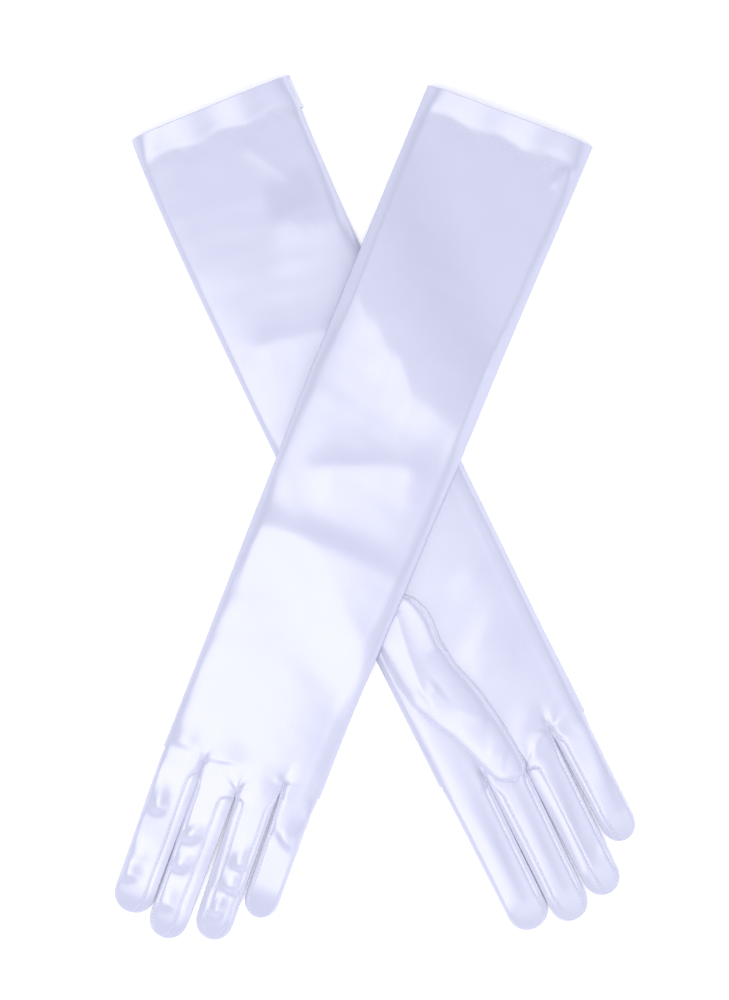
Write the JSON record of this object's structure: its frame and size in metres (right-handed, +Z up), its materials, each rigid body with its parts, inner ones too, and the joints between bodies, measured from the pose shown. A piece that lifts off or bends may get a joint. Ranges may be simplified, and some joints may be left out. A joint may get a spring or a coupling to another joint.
{
  "type": "opera gloves",
  "caption": "Long satin opera gloves laid flat and crossed, one palm up and one back up, with set-in thumbs, fourchettes between the fingers and turned hems.",
  "frame": {"origin": "on the table, under the middle of the crossed pair's bounding box", "axes": "+Y towards the arm openings, +Z up from the table, +X to the side of the right glove's fingers"},
  "size_m": [0.3028, 0.503, 0.0124],
  "materials": {
    "satin": "bright white stretch satin with a faint lavender cast",
    "satin_inside": "matt back of the satin",
    "label_tape": "woven white label tape, blank"
  },
  "bodies": {
    "right_glove": {"right_hem": "satin_inside", "right_label": "label_tape", "right_seam_allowance": "satin_inside", "right_trank": "satin"},
    "right_index": {"right_index_fourchette_outer": "satin", "right_index_stall": "satin"},
    "right_middle": {"right_middle_fourchette_inner": "satin", "right_middle_fourchette_outer": "satin", "right_middle_stall": "satin"},
    "right_ring": {"right_ring_fourchette_inner": "satin", "right_ring_fourchette_outer": "satin", "right_ring_stall": "satin"},
    "right_little": {"right_little_fourchette_inner": "satin", "right_little_stall": "satin"},
    "right_thumb": {"right_thumb": "satin"},
    "left_glove": {"left_hem": "satin_inside", "left_seam_allowance": "satin_inside", "left_trank": "satin"},
    "left_index": {"left_index_fourchette_outer": "satin", "left_index_stall": "satin"},
    "left_middle": {"left_middle_fourchette_inner": "satin", "left_middle_fourchette_outer": "satin", "left_middle_stall": "satin"},
    "left_ring": {"left_ring_fourchette_inner": "satin", "left_ring_fourchette_outer": "satin", "left_ring_stall": "satin"},
    "left_little": {"left_little_fourchette_inner": "satin", "left_little_stall": "satin"},
    "left_thumb": {"left_thumb": "satin"}
  },
  "joints": [
    {"name": "left_glove_lift", "type": "slide", "parent": "right_glove", "child": "left_glove", "axis": [0, 0, 1], "range_m": [0, 0.15]},
    {"name": "right_index_bend", "type": "hinge", "parent": "right_glove", "child": "right_index", "pos_m": [0.05359, -0.16688, 0.009], "axis": [-0.9056, -0.4242, 0], "range_deg": [0, 90]},
    {"name": "right_middle_bend", "type": "hinge", "parent": "right_glove", "child": "right_middle", "pos_m": [0.07938, -0.16253, 0.009], "axis": [-0.9056, -0.4242, 0], "range_deg": [0, 90]},
    {"name": "right_ring_bend", "type": "hinge", "parent": "right_glove", "child": "right_ring", "pos_m": [0.10112, -0.15235, 0.009], "axis": [-0.9056, -0.4242, 0], "range_deg": [0, 90]},
    {"name": "right_little_bend", "type": "hinge", "parent": "right_glove", "child": "right_little", "pos_m": [0.11582, -0.12999, 0.009], "axis": [-0.9056, -0.4242, 0], "range_deg": [0, 90]},
    {"name": "left_index_bend", "type": "hinge", "parent": "left_glove", "child": "left_index", "pos_m": [-0.11489, -0.15247, 0.014], "axis": [-0.9252, 0.3795, 0], "range_deg": [0, 90]},
    {"name": "left_middle_bend", "type": "hinge", "parent": "left_glove", "child": "left_middle", "pos_m": [-0.09423, -0.16851, 0.014], "axis": [-0.9252, 0.3795, 0], "range_deg": [0, 90]},
    {"name": "left_ring_bend", "type": "hinge", "parent": "left_glove", "child": "left_ring", "pos_m": [-0.07202, -0.17762, 0.014], "axis": [-0.9252, 0.3795, 0], "range_deg": [0, 90]},
    {"name": "left_little_bend", "type": "hinge", "parent": "left_glove", "child": "left_little", "pos_m": [-0.04561, -0.17331, 0.0105], "axis": [-0.9252, 0.3795, 0], "range_deg": [0, 90]},
    {"name": "right_thumb_swing", "type": "hinge", "parent": "right_glove", "child": "right_thumb", "pos_m": [0.02287, -0.08078, 0.0091], "axis": [0, 0, -1], "range_deg": [0, 34]},
    {"name": "left_thumb_swing", "type": "hinge", "parent": "left_glove", "child": "left_thumb", "pos_m": [-0.0723, -0.07158, 0.0023], "axis": [0, 0, -1], "range_deg": [0, 60]}
  ]
}
